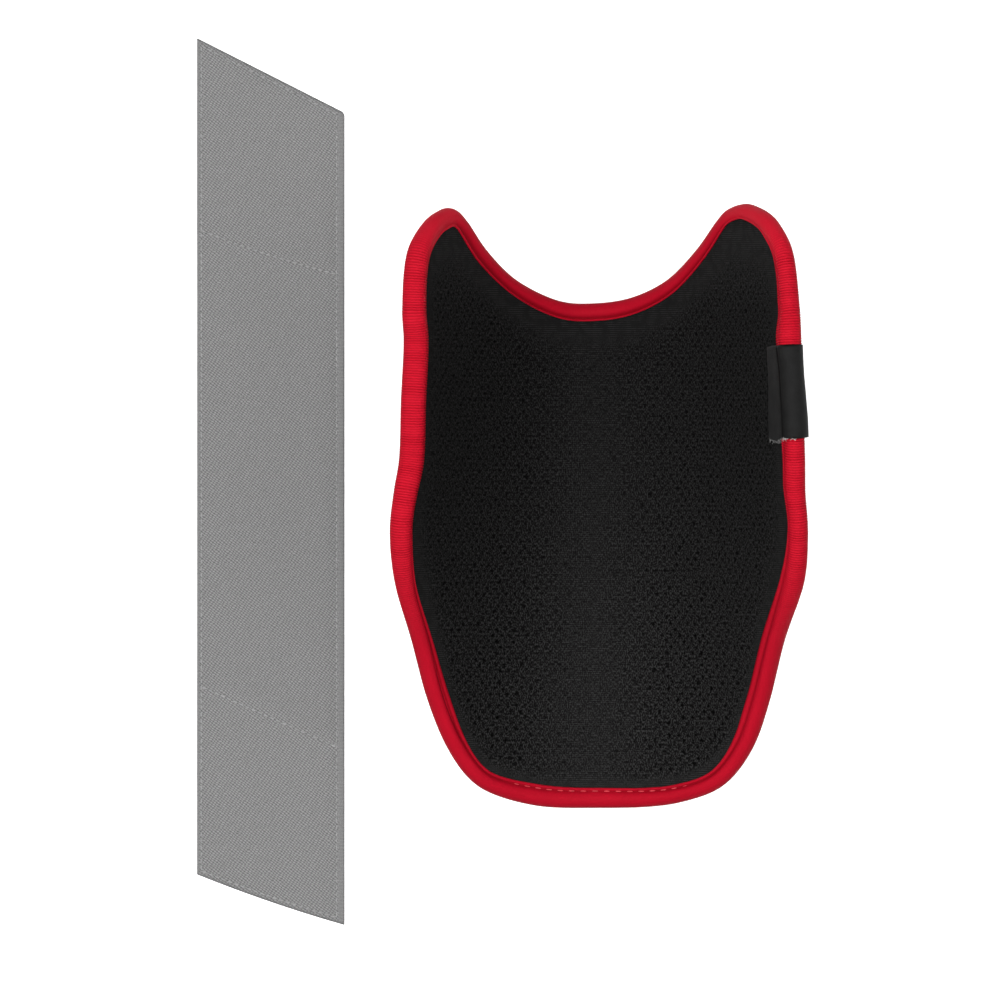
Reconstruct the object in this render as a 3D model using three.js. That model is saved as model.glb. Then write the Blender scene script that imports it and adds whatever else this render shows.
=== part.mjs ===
// Elbow guard: a padded, scooped cuff with a mesh lining and a bound edge, and its strap laid beside it.
// Millimetres, +Z up. The guard lies on its back with the hollow up; the strap lies flat at its left.
import * as THREE from "three";
import { mergeVertices } from "three/addons/utils/BufferGeometryUtils.js";

// Guard, measured from its keel, the lowest line along the hollow
const KEEL_X = 30.75;
const SEAM_HEIGHT = 4.65;
const FABRIC_GAP = 0.3;
const LINING_EDGE = 1.9;
const LINING_FULL = 2.5;
const SHELL_EDGE = 1.85;
const SHELL_FULL = 5.0;
const PAD_ROLL_FROM = 1.4;
const PAD_ROLL_TO = 14;
const PAD_ACROSS = 28;
const PAD_ALONG = 18;
const HEM_ACROSS = 0.013;
const HEM_ALONG = 0.025;

// The guard's sides seen from above
const SIDE_STATIONS = [
  { y: 79.6, left: -62.6, right: 68.7 },
  { y: 58.9, left: -64.7, right: 71.3 },
  { y: 28.0, left: -65.0, right: 72.4 },
  { y: 7.5, left: -65.7, right: 73.1 },
  { y: -2.8, left: -67.4, right: 73.2 },
  { y: -16.5, left: -68.8, right: 74.1 },
  { y: -33.8, left: -67.2, right: 72.9 },
  { y: -54.4, left: -61.4, right: 66.5 },
  { y: -75.1, left: -56.0, right: 61.6 },
  { y: -90.8, left: -49.8, right: 56.1 },
  { y: -101.2, left: -42.9, right: 49.3 },
];
// Its upper end, from the left horn through the notch to the right horn
const UPPER_END = [
  { x: -56.8, y: 89.9 },
  { x: -49.3, y: 93.9 },
  { x: -42.9, y: 90.0 },
  { x: -35.9, y: 79.9 },
  { x: -25.6, y: 69.6 },
  { x: -10.4, y: 62.9 },
  { x: 0.7, y: 61.5 },
  { x: 13.8, y: 63.6 },
  { x: 26.2, y: 69.6 },
  { x: 36.4, y: 79.9 },
  { x: 43.6, y: 89.9 },
  { x: 53.1, y: 95.5 },
  { x: 63.7, y: 89.8 },
];
const LOWER_END = [
  { x: -35.9, y: -106.4 },
  { x: -18.7, y: -111.6 },
  { x: 3.5, y: -112.3 },
  { x: 21.1, y: -111.6 },
  { x: 42.9, y: -106.4 },
];

// Scoop: how high the pad stands at BEND_REACH off the keel, deep at the cuff and shallow at the lower end
const BEND_REACH = 50;
const BEND_SHALLOW = 12;
const BEND_DEEP = 43.5;
const BEND_FROM = -150;
const BEND_TO = 40;
// The keel lies level between two stations and lifts a little towards both ends
const LEVEL_TOP = 35;
const LEVEL_BOTTOM = -65;
const LIFT_TOP = 1.0;
const LIFT_BOTTOM = 3.0;
const LIFT_RUN = 45;

// Binding: tape folded round the edge, a bead with a leg on each face of the pad
const BEAD_RADIUS = 3.3;
const TAPE = 0.9;
const LEG = 3.0;
const BEAD_TURNS = [0, 30, 60, 90];
const FOLD_TURNS = [90, 45, 0, -45, -90];
const BINDING_STEPS = 160;
const EDGE_DIVISIONS = 1600;
const STOCK_RING = { radius: 2, tube: 1 };
const SIDE_SAMPLES = 60;

// Label: a tab folded over the binding on the right flank
const LABEL_TOP = 47.3;
const LABEL_BOTTOM = 14.6;
const LABEL_THICK = 0.6;
const LABEL_ON_LINING = 9.0;
const LABEL_STEP_DOWN = 1.4;
const LABEL_BACK_LEG = 2.0;
const LABEL_TURNS = [-90, -60, -30, 0, 30, 60, 90];
const LABEL_ALONG = 8;
const LABEL_SEARCH = 0.0005;

// Strap: long sides along Y, ends cut on the slant, raised over the patches sewn under its ends
const STRAP_X = { left: -104.9, right: -54.3 };
const STRAP_TOP = { left: 152.6, right: 127.4 };
const STRAP_BOTTOM = { left: -135.5, right: -152.6 };
const STRAP_BOW = 1.0;
const STRAP_THICK = 1.8;
const STRAP_RAMP = 16;
const STRAP_ACROSS = 4;
const STRAP_ALONG = 40;
const PATCH_SEAM_TOP = { left: 87.2, right: 70.9 };
const PATCH_SEAM_BOTTOM = { left: -69.8, right: -92.5 };
const PATCH_THICK = 1.5;
const PATCH_INSET = 2.6;
const PATCH_ALONG = 6;

const FABRIC_ROUGHNESS = 0.9;
const COLOURS = {
  mesh: 0x202020,
  knit: 0x181818,
  tape: 0xc41428,
  satin: 0x2a2a2a,
  twill: 0x919191,
  hook: 0x303030,
};

const { lerp, smoothstep, degToRad } = THREE.MathUtils;
const between = (pair, share) => lerp(pair.left, pair.right, share);

// The seam between lining and body: its height over the plan, and the way it faces
function seamHeight(x, y) {
  const above = Math.max(0, y - LEVEL_TOP) / LIFT_RUN;
  const below = Math.max(0, LEVEL_BOTTOM - y) / LIFT_RUN;
  const lift = LIFT_TOP * above ** 2 + LIFT_BOTTOM * below ** 2;
  const bend = lerp(BEND_SHALLOW, BEND_DEEP, smoothstep(y, BEND_FROM, BEND_TO));
  return SEAM_HEIGHT + lift + bend * (x / BEND_REACH) ** 2;
}

function seamNormal(x, y) {
  const step = 0.5;
  const slopeX = (seamHeight(x + step, y) - seamHeight(x - step, y)) / (2 * step);
  const slopeY = (seamHeight(x, y + step) - seamHeight(x, y - step)) / (2 * step);
  return new THREE.Vector3(-slopeX, -slopeY, 1).normalize();
}

const onSeam = (point) => new THREE.Vector3(point.x, point.y, seamHeight(point.x, point.y));
const offSeam = (point, height) => onSeam(point).addScaledVector(seamNormal(point.x, point.y), height);

// The outline from above, anticlockwise, as four sides that share their corner knots
const rightKnots = SIDE_STATIONS.map((row) => ({ x: row.right, y: row.y })).reverse();
const upperKnots = [...UPPER_END].reverse();
const leftKnots = SIDE_STATIONS.map((row) => ({ x: row.left, y: row.y }));
const knots = [...rightKnots, ...upperKnots, ...leftKnots, ...LOWER_END];
const corners = [
  0,
  rightKnots.length,
  rightKnots.length + upperKnots.length - 1,
  knots.length - LOWER_END.length - 1,
  knots.length,
];
const outline = new THREE.CatmullRomCurve3(
  knots.map((knot) => new THREE.Vector3(knot.x, knot.y, 0)),
  true,
);

// The middle of the binding's bead: the outline drawn in by the bead's radius
function beadPoint(share) {
  const tangent = outline.getTangent(share);
  const inward = new THREE.Vector3(-tangent.y, tangent.x, 0);
  return outline.getPoint(share).addScaledVector(inward, BEAD_RADIUS);
}

const sides = corners.slice(1).map((end, side) => {
  const points = [];
  for (let i = 0; i <= SIDE_SAMPLES; i += 1) {
    const knot = lerp(corners[side], end, i / SIDE_SAMPLES);
    points.push(beadPoint((knot / knots.length) % 1));
  }
  return new THREE.CatmullRomCurve3(points);
});
const [rightEdge, upperEdge, leftEdge, lowerEdge] = sides;
const edgePoints = sides.flatMap((side) => side.points.slice(1)).map(onSeam);
const edge = new THREE.CatmullRomCurve3(edgePoints, true);
edge.arcLengthDivisions = EDGE_DIVISIONS;

// A place on the guard's plan: across runs from the left edge to the right, along from the lower end up
function planPoint(across, along) {
  const left = leftEdge.getPointAt(1 - along);
  const right = rightEdge.getPointAt(along);
  const lower = lowerEdge.getPointAt(across);
  const upper = upperEdge.getPointAt(1 - across);
  const lowLeft = leftEdge.points[SIDE_SAMPLES];
  const topLeft = leftEdge.points[0];
  const lowRight = rightEdge.points[0];
  const topRight = rightEdge.points[SIDE_SAMPLES];
  const blend = (axis) =>
    lerp(left[axis], right[axis], across) +
    lerp(lower[axis], upper[axis], along) -
    lerp(lerp(lowLeft[axis], lowRight[axis], across), lerp(topLeft[axis], topRight[axis], across), along);
  return { x: blend("x"), y: blend("y") };
}

// Draws the first and last lines of an even division in to a narrow hem, which the binding covers
function hemmed(share, segments, hem) {
  const line = Math.round(share * segments);
  if (line === 0 || line === segments) return share;
  return lerp(hem, 1 - hem, (line - 1) / (segments - 2));
}

const padPoint = (at) =>
  planPoint(hemmed(at.x, PAD_ACROSS, HEM_ACROSS), hemmed(at.y, PAD_ALONG, HEM_ALONG));

// How full the padding is: thin under the binding's legs, full a little way in
function fullness(point) {
  const place = onSeam(point);
  const distance = Math.min(...edgePoints.map((other) => place.distanceTo(other)));
  return smoothstep(distance, LEG + PAD_ROLL_FROM, LEG + PAD_ROLL_TO);
}

// Moves every vertex of a stock shape by a rule, and keeps only the places so that seams close
function reshape(geometry, rule) {
  const places = geometry.getAttribute("position");
  const uv = geometry.getAttribute("uv");
  for (let i = 0; i < places.count; i += 1) {
    const from = new THREE.Vector3().fromBufferAttribute(places, i);
    const to = rule(from, { along: uv.getX(i), round: uv.getY(i) });
    places.setXYZ(i, to.x, to.y, to.z);
  }
  geometry.deleteAttribute("normal");
  geometry.deleteAttribute("uv");
  const closed = mergeVertices(geometry);
  closed.computeVertexNormals();
  return closed;
}

// A block of unit size whose corners run from 0 to 1, reshaped into a sheet
function sheet(segmentsAcross, segmentsAlong, rule) {
  const block = new THREE.BoxGeometry(1, 1, 1, segmentsAcross, segmentsAlong, 1).translate(0.5, 0.5, 0.5);
  return reshape(block, rule);
}

const lining = sheet(PAD_ACROSS, PAD_ALONG, (at) => {
  const point = padPoint(at);
  const thick = lerp(LINING_EDGE, LINING_FULL, fullness(point));
  return offSeam(point, FABRIC_GAP / 2 + thick * at.z);
});

// The belly is pressed flat where the guard lies on it
const shell = sheet(PAD_ACROSS, PAD_ALONG, (at) => {
  const point = padPoint(at);
  const thick = lerp(SHELL_EDGE, SHELL_FULL, fullness(point));
  const place = offSeam(point, -FABRIC_GAP / 2 - thick * (1 - at.z));
  place.z = Math.max(place.z, 0);
  return place;
});

// A station on the edge: the bead's middle, the way out of the pad, and the way its face looks
function edgeFrame(share) {
  const middle = edge.getPointAt(share % 1);
  const face = seamNormal(middle.x, middle.y);
  const out = edge.getTangentAt(share % 1).cross(face).normalize();
  return { middle, face, out };
}

const inSection = (frame, out, face) =>
  frame.middle.clone().addScaledVector(frame.out, out).addScaledVector(frame.face, face);
const turned = (degrees, radius) => ({
  out: radius * Math.cos(degToRad(degrees)),
  face: radius * Math.sin(degToRad(degrees)),
});

const foldRadius = BEAD_RADIUS - TAPE;
const tapeSection = [
  ...BEAD_TURNS.map((turn) => turned(turn, BEAD_RADIUS)),
  { out: -LEG, face: BEAD_RADIUS },
  { out: -LEG, face: foldRadius },
  ...FOLD_TURNS.map((turn) => turned(turn, foldRadius)),
  { out: -LEG, face: -foldRadius },
  { out: -LEG, face: -BEAD_RADIUS },
  ...BEAD_TURNS.slice(1).reverse().map((turn) => turned(-turn, BEAD_RADIUS)),
];

const binding = reshape(
  new THREE.TorusGeometry(STOCK_RING.radius, STOCK_RING.tube, tapeSection.length, BINDING_STEPS),
  (_, { along, round }) => {
    const corner = tapeSection[Math.round(round * tapeSection.length) % tapeSection.length];
    return inSection(edgeFrame(along), corner.out, corner.face);
  },
);

// The label's run over the binding, from its back leg round the bead and down onto the lining
const labelRadius = BEAD_RADIUS + FABRIC_GAP;
const liningTop = FABRIC_GAP / 2 + LINING_EDGE + FABRIC_GAP;
const labelRun = [
  { out: -LABEL_BACK_LEG, face: -labelRadius, lean: -90 },
  ...LABEL_TURNS.map((turn) => ({ ...turned(turn, labelRadius), lean: turn })),
  { out: -LEG - FABRIC_GAP, face: labelRadius, lean: 90 },
  { out: -LEG - LABEL_STEP_DOWN, face: liningTop, lean: 90 },
  { out: -LEG - LABEL_ON_LINING / 2, face: liningTop + FABRIC_GAP / 2, lean: 90 },
  { out: -LEG - LABEL_ON_LINING, face: liningTop + FABRIC_GAP, lean: 90 },
];

// The share of the edge's length at which the right flank, where it starts, passes a station
function shareAtStation(y) {
  let share = 0;
  while (edge.getPointAt(share).y < y) share += LABEL_SEARCH;
  return share;
}

const labelShares = { left: shareAtStation(LABEL_BOTTOM), right: shareAtStation(LABEL_TOP) };
const label = sheet(LABEL_ALONG, labelRun.length - 1, (at) => {
  const frame = edgeFrame(between(labelShares, at.x));
  const fold = labelRun[Math.round(at.y * (labelRun.length - 1))];
  const lift = turned(fold.lean, LABEL_THICK * at.z);
  if (fold.out >= -LEG) return inSection(frame, fold.out + lift.out, fold.face + lift.face);
  return offSeam(inSection(frame, fold.out, 0), fold.face + lift.face);
});

// The strap's plan: across from its left side to its right, along from its lower end to its upper
const bow = (across) => STRAP_BOW * 4 * across * (1 - across);
const strapLower = (across) => between(STRAP_BOTTOM, across) - bow(across);
const strapUpper = (across) => between(STRAP_TOP, across);

function strapRaise(across, y) {
  const top = between(PATCH_SEAM_TOP, across);
  const bottom = between(PATCH_SEAM_BOTTOM, across);
  const over = smoothstep(y, top - STRAP_RAMP, top) + 1 - smoothstep(y, bottom, bottom + STRAP_RAMP);
  return (PATCH_THICK + FABRIC_GAP) * over;
}

const strap = sheet(STRAP_ACROSS, STRAP_ALONG, (at) => {
  const y = lerp(strapLower(at.x), strapUpper(at.x), at.y);
  return { x: between(STRAP_X, at.x), y, z: strapRaise(at.x, y) + STRAP_THICK * at.z };
});

// A patch under one end of the strap, drawn in a little from its sides, its cross seam and its cut end
function patch(lower, upper) {
  const side = PATCH_INSET / (STRAP_X.right - STRAP_X.left);
  return sheet(STRAP_ACROSS, PATCH_ALONG, (at) => {
    const across = lerp(side, 1 - side, at.x);
    const y = lerp(lower(across) + PATCH_INSET, upper(across) - PATCH_INSET, at.y);
    return { x: between(STRAP_X, across), y, z: PATCH_THICK * at.z };
  });
}

const topPatch = patch((across) => between(PATCH_SEAM_TOP, across), strapUpper);
const bottomPatch = patch(strapLower, (across) => between(PATCH_SEAM_BOTTOM, across));

function named(name, geometry, colour, x = 0) {
  const material = new THREE.MeshStandardMaterial({ color: colour, roughness: FABRIC_ROUGHNESS });
  const mesh = new THREE.Mesh(geometry, material);
  mesh.name = name;
  mesh.position.x = x;
  return mesh;
}

const guard = new THREE.Group();
guard.add(
  named("mesh_lining", lining, COLOURS.mesh, KEEL_X),
  named("pad_shell", shell, COLOURS.knit, KEEL_X),
  named("edge_binding", binding, COLOURS.tape, KEEL_X),
  named("side_label", label, COLOURS.satin, KEEL_X),
  named("strap", strap, COLOURS.twill),
  named("hook_patch_top", topPatch, COLOURS.hook),
  named("hook_patch_bottom", bottomPatch, COLOURS.hook),
);

export default guard;
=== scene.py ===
"""Looks of a scooped elbow guard that lies on its back, with its fastening strap beside it."""

import math
import random
from bisect import bisect_right
from collections import namedtuple

import bmesh
import bpy
from mathutils import Matrix, Vector
from mathutils.geometry import interpolate_bezier
from mathutils.kdtree import KDTree


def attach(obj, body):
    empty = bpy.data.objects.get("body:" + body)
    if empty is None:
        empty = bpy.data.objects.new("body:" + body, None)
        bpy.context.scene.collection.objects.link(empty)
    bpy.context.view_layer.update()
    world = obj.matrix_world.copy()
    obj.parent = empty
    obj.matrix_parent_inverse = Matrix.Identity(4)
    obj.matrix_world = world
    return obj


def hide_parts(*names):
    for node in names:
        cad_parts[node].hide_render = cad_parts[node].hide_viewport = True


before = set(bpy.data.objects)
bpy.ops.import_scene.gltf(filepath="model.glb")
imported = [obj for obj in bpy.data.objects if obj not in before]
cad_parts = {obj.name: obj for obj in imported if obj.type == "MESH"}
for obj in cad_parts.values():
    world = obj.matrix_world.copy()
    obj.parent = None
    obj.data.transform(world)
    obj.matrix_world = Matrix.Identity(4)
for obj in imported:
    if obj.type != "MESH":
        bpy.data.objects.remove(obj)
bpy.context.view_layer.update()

# All sizes are in millimetres, and a finished piece is scaled to metres
MM = 0.001
UP = Vector((0.0, 0.0, 1.0))
TURN = 2.0 * math.pi

# Guard, measured from its keel, the lowest line along the hollow
KEEL_X = 30.75
SEAM_HEIGHT = 4.65
FABRIC_GAP = 0.3
LINING_EDGE = 1.9
LINING_FULL = 2.5
SHELL_EDGE = 1.85
SHELL_FULL = 5.0
PAD_ROLL_FROM = 1.4
PAD_ROLL_TO = 14.0

# The guard's sides seen from above: station, left side, right side
SIDE_STATIONS = [
    (79.6, -62.6, 68.7),
    (58.9, -64.6, 71.3),
    (48.5, -64.1, 71.8),
    (28.0, -65.0, 72.4),
    (7.5, -65.7, 73.1),
    (-2.8, -67.4, 73.2),
    (-16.5, -68.8, 74.1),
    (-33.8, -67.2, 72.9),
    (-54.4, -61.4, 66.2),
    (-75.1, -55.8, 61.3),
    (-90.8, -49.5, 56.0),
    (-101.2, -42.5, 49.1),
]
# Its upper end from the left horn through the notch to the right horn: across, along
UPPER_END = [
    (-56.7, 89.6),
    (-52.8, 92.6),
    (-50.2, 93.8),
    (-47.5, 93.8),
    (-44.9, 92.4),
    (-42.1, 89.1),
    (-35.9, 79.9),
    (-25.6, 69.6),
    (-10.4, 62.3),
    (0.7, 61.5),
    (13.8, 63.4),
    (26.2, 69.4),
    (36.4, 79.9),
    (43.1, 89.4),
    (45.9, 92.7),
    (49.6, 94.6),
    (53.8, 95.25),
    (57.9, 93.85),
    (62.0, 91.2),
    (64.7, 87.9),
]
# Its lower end, left to right: across, along
LOWER_END = [
    (-35.6, -106.4),
    (-18.7, -111.4),
    (3.5, -112.2),
    (21.1, -111.7),
    (31.5, -110.1),
    (42.7, -106.2),
]

# Scoop: how high the pad stands at BEND_REACH off the keel, deep at the cuff and shallow at the lower end
BEND_REACH = 50.0
BEND_SHALLOW = 12.0
BEND_DEEP = 43.5
BEND_FROM = -150.0
BEND_TO = 40.0
LEVEL_TOP = 35.0
LEVEL_BOTTOM = -65.0
LIFT_TOP = 1.0
LIFT_BOTTOM = 3.0
LIFT_RUN = 45.0
SLOPE_STEP = 0.5
BEND_ROUNDS = 6

# Lining: holes in a staggered lattice, closed up where the seam presses the mesh flat
HOLE_ACROSS = 3.65
HOLE_ALONG = 4.04
HOLE_CELLS = 114
HOLE_BORDER = 1.06
HOLE_DISH = 0.12
HOLE_WALL = 0.1
HOLE_DEPTH = 0.75
HOLE_SHALLOWEST = 0.2
HOLE_STRAY = 0.34
HOLE_SEED = 3
HOLES_FROM = (7.5, 4.5)
HOLES_TO = (17.0, 9.0)
HOLES_LOW = (20.0, 70.0)
HOLES_CLOSED = 0.04
HOLES_AT_KEEL = 0.25
HOLES_SPREAD = 38.0
HOLES_HORN = (58.0, 84.0)

# Shell: cells of the back's mesh
BACK_CELL = 3.0
BACK_CELLS = 76

# Binding: tape folded round the edge, with a sewn groove and a lip on each face of the pad
BEAD_RADIUS = 3.3
FOLD_RADIUS = 2.3
LEG = 3.0
RIB_PITCH = 0.88
RIB_ROWS = 5
RIB_HEIGHT = 0.24
RIB_UNEVEN = 0.2
RIB_WAVES = (0.9, 0.23)
RIB_FLANK = 50.0
RIB_TOP = (74.0, 86.0)
RIB_BOTTOM = (-58.0, -22.0)
PLAIN_STEP = 0.9
# Painted light and shade on the tape: lighter where it faces outwards on the flanks, darker near the keel
# and towards the lower end.
TAPE_LIGHT_OUTWARD = (-1.0, 0.5)
TAPE_LIGHT_FROM = 30.0
TAPE_LIGHT_LOW_END = 0.2
EDGE_STEPS = 80
WELD = 1e-4
# One face of the tape from the bead's crown to the lip's end: out of the pad, off the seam, then the
# shares of the crown's lift, of the groove's depth and of the lip's extra width
LIP_PROFILE = [
    (-0.7, 3.26, 0.98, 0.2, 0.72),
    (-1.2, 3.18, 0.95, 0.42, 0.81),
    (-1.65, 3.09, 0.93, 0.7, 0.89),
    (-1.98, 3.0, 0.91, 0.92, 0.95),
    (-2.25, 2.94, 0.9, 1.0, 1.0),
    (-2.5, 2.94, 0.88, 0.8, 0.95),
    (-2.7, 2.95, 0.87, 0.28, 0.85),
    (-2.92, 2.84, 0.84, 0.12, 0.35),
    (-3.1, 2.5, 0.7, 0.0, 0.0),
    (-3.08, 2.12, 0.0, 0.0, 0.0),
]
BEAD_TURNS = (15, 30, 45, 60, 75, 90)
FOLD_TURNS = (90, 45, 0, -45, -90)
# How the tape lies along the edge: across, along, then the lip's reach, the crown's lift, the groove's
# depth and how much wider the lip is
TAPE_LAY = [
    (63.0, -54.0, 1.2, 0.0, 0.4, 1.9),
    (69.0, -34.0, 1.4, 0.4, 0.35, 0.9),
    (70.0, -14.0, 0.85, -0.1, 0.25, 0.0),
    (70.0, 3.0, 1.2, 0.4, 0.35, 0.0),
    (70.0, 18.0, 1.9, -0.2, 0.3, 0.0),
    (69.5, 36.0, 1.2, 0.3, 0.0, 0.0),
    (69.5, 49.0, 1.5, 1.3, 0.1, 0.0),
    (68.0, 61.0, 1.15, 0.15, 0.3, 0.0),
    (66.0, 70.0, 1.0, 0.0, 0.3, 0.0),
    (53.0, 92.0, 0.6, -0.1, 0.2, 0.0),
    (40.0, 82.0, 0.9, 0.0, 0.6, 0.0),
    (0.0, 58.0, 0.9, 0.0, 0.6, 0.14),
    (-26.0, 67.0, 0.9, 0.0, 0.65, 0.05),
    (-41.0, 84.0, 1.25, 0.1, 0.7, 0.0),
    (-51.0, 91.0, 1.0, -0.1, 0.3, 0.0),
    (-60.0, 72.0, 0.9, 1.4, 0.0, 0.0),
    (-62.0, 40.0, 1.0, 1.9, 0.0, 0.0),
    (-62.0, 10.0, 1.0, 1.9, 0.0, 0.0),
    (-65.0, -16.0, 0.83, 1.0, 0.0, 0.0),
    (-62.0, -42.0, 0.8, -0.1, 0.55, 0.55),
    (-53.0, -75.0, 1.1, 0.0, 0.8, 1.2),
    (-41.0, -98.0, 0.82, 0.0, 0.55, 0.35),
    (-18.0, -107.0, 1.25, 0.0, 0.45, 0.3),
    (0.0, -109.0, 1.1, 0.0, 0.4, 0.22),
    (43.0, -101.0, 0.85, 0.0, 0.55, 0.5),
    (56.0, -78.0, 1.2, 0.1, 0.4, 1.5),
]

# Stitches: length, thickness and pitch in a row
EDGE_STITCH = (2.1, 0.5, 4.15)
STRAP_STITCH = (1.6, 0.6, 2.3)
STITCH_SIDES = 6
STITCH_RINGS = 5
STITCH_AHEAD = 0.5
# Edge stitches: their row of the lip's profile, their rise off it, how deep they sink where the tape is
# tight, and how far down the guard they come out
EDGE_STITCH_ROW = 4
EDGE_STITCH_RISE = 0.14
EDGE_STITCH_SUNK = 0.45
EDGE_STITCH_SHOWS = (105.3, 107.2)

# Label: a tab folded over the binding on the right flank
LABEL_TOP = 46.5
LABEL_BOTTOM = 15.3
LABEL_THICK = 0.35
LABEL_STAND_OFF = 1.1
LABEL_COLUMNS = 30
LABEL_ROWS = 56
# Its run from the back leg round the bead, into the groove and onto the lining: out of the pad, off the seam
LABEL_RUN = [
    (-2.0, -3.5),
    (0.0, -3.5),
    (2.43, -2.43),
    (3.42, 0.0),
    (2.43, 2.43),
    (0.3, 3.5),
    (-1.0, 3.5),
    (-1.9, 3.28),
    (-2.5, 3.08),
    (-3.1, 3.2),
    (-4.3, 3.0),
    (-6.0, 2.8),
    (-9.0, 2.85),
    (-14.6, 2.6),
]
LABEL_STEPS = 12
LABEL_CREASE = 8
CREASE_WIDTH = 2.0
CREASE_LEAN = (1.3, 0.4)
CREASE_WAVE = 0.3
CREASE_HALF_WAVES = 2.2
LABEL_LOOSE = (0.1, 0.9)
LABEL_BULGE = (-2.0, 2.5)
LABEL_DRAW = 0.35
LABEL_FLARE = (2.5, 0.7)
LABEL_FLARE_RUN = 9.0
LABEL_CROWN_END = -7.0
LABEL_DARK_EDGE = 0.55
# Loose ends of its yarn: lengths along its run in millimetres, and ranges that each end is drawn from
THREAD_ENDS = 30
THREAD_SEED = 7
THREADS_FROM = 8.2
THREAD_ROOT = 0.3
THREAD_STRAY = (0.1, 0.9)
THREAD_OFF = (0.6, 1.3)
THREAD_LEAN = (-2.2, 1.6)
THREAD_LIFT = (0.0, 0.8)
THREAD_LENGTH = (0.8, 2.0)
THREAD_THICK = (0.13, 0.08)
THREAD_SIDES = 5
THREAD_FADE = (11.5, 14.0)
THREAD_FADED = 0.3

# Strap: long sides along Y, ends cut on the slant, raised over the patches sewn under its ends
STRAP_LEFT = -104.65
STRAP_RIGHT = -53.9
STRAP_WIDTH = STRAP_RIGHT - STRAP_LEFT
STRAP_TOP = (152.8, 127.1)
STRAP_BOTTOM = (-135.1, -152.5)
STRAP_BOW = 0.75
STRAP_THICK = 1.8
STRAP_RAMP = 16.0
STRAP_CORNER = 1.0
STRAP_ROUND = 0.8
STRAP_ROUND_TOP = 0.6
STRAP_ROUND_UNDER = 0.25
STRAP_STEP = 3.6
CUT_EDGE = (0.3, 0.8)
CUT_SHADE = 0.6
SELVEDGE_LEFT = (0.6, 1.2)
SELVEDGE_RIGHT = (1.8, 2.6)
SELVEDGE_PICK = 1.25
SEAM_TOP = (87.2, 70.9)
SEAM_BOTTOM = (-69.8, -92.5)
SEAM_BOW = 1.1
HEM_STEPS = (0.0, 0.1, 0.35, 0.8, 1.2, 1.6, 2.0, 2.4, 2.9, 3.5)
SEAM_STEPS = (-1.8, -1.1, -0.6, -0.25, 0.0, 0.25, 0.6, 1.1, 1.8)
PATCH_THICK = 1.5
PATCH_INSET = 2.6
PATCH_COLUMNS = 28
PATCH_ROWS = 35
HOOK_LENGTH = 0.6
HOOK_INSET = 0.3
HOOK_TAPER = 0.08
# Its sewing: off the sides, square off the ends, and along Y off the lower and the upper end
SEW_LEFT = 1.45
SEW_RIGHT = 2.7
SEW_ENDS = 1.7
SEW_ENDS_ALONG = (1.802, 1.904)
SEW_DENT = 0.28
SEW_WIDTH = 0.55
SEW_STEPS_ACROSS = 24
SEW_STEPS_ALONG = 90

# Studio, in metres and watts
FLOOR_HALF = 4.0
SKY_STRENGTH = 0.22
SOFT_BOX_SIZE = 1.4
SOFT_BOXES = {
    "soft_box_overhead": ((0.0, 0.0, 2.6), 48.0),
    "soft_box_left": ((-1.8, 0.0, 1.8), 22.0),
    "soft_box_right": ((1.8, 0.0, 1.8), 7.0),
    "soft_box_top": ((0.0, 1.6, 2.0), 7.0),
    "soft_box_bottom": ((0.0, -1.6, 2.0), 7.0),
}
CAMERA_PLACE = (-0.00035, -0.0062, 9.6)
CAMERA_LENS = 1003.5
CAMERA_SENSOR = 36.0
CAMERA_CLIP = 100.0

Station = namedtuple("Station", "along middle face out")
TapePoint = namedtuple("TapePoint", "out face lift groove wider", defaults=(0.0, 0.0, 0.0))


def mix(first, second, share):
    return first + (second - first) * share


def smoothstep(value, low, high):
    share = min(max((value - low) / (high - low), 0.0), 1.0)
    return share * share * (3.0 - 2.0 * share)


def running_lengths(line):
    """How far along a line of points each of them is."""
    lengths = [0.0]
    for first, second in zip(line, line[1:]):
        lengths.append(lengths[-1] + (second - first).length)
    return lengths


def span_at(lengths, walked):
    """The number of the point that ends the span at a length along a line, and the share of that span."""
    index = min(bisect_right(lengths, walked), len(lengths) - 1)
    return index, (walked - lengths[index - 1]) / (lengths[index] - lengths[index - 1])


# The seam between lining and shell: its height over the plan, and the way it faces

def scoop(y):
    return mix(BEND_SHALLOW, BEND_DEEP, smoothstep(y, BEND_FROM, BEND_TO))


def seam_height(x, y):
    above = max(0.0, y - LEVEL_TOP) / LIFT_RUN
    below = max(0.0, LEVEL_BOTTOM - y) / LIFT_RUN
    lift = LIFT_TOP * above ** 2 + LIFT_BOTTOM * below ** 2
    return SEAM_HEIGHT + lift + scoop(y) * (x / BEND_REACH) ** 2


def seam_normal(x, y):
    rise_x = seam_height(x + SLOPE_STEP, y) - seam_height(x - SLOPE_STEP, y)
    rise_y = seam_height(x, y + SLOPE_STEP) - seam_height(x, y - SLOPE_STEP)
    return Vector((-rise_x, -rise_y, 2.0 * SLOPE_STEP)).normalized()


def off_seam(x, y, height):
    return Vector((x, y, seam_height(x, y))) + seam_normal(x, y) * height


def cloth_x(length, y):
    """How far off the keel a point of the cloth lies that is this length along the bend."""
    curve = 2.0 * scoop(y) / BEND_REACH ** 2
    x = length / (1.0 + 0.5 * curve * abs(length))
    for _ in range(BEND_ROUNDS):
        steep = math.hypot(1.0, curve * x)
        walked = 0.5 * (x * steep + math.asinh(curve * x) / curve)
        x -= (walked - length) / steep
    return x


# The edge: the middle of the binding's bead all the way round

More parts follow.
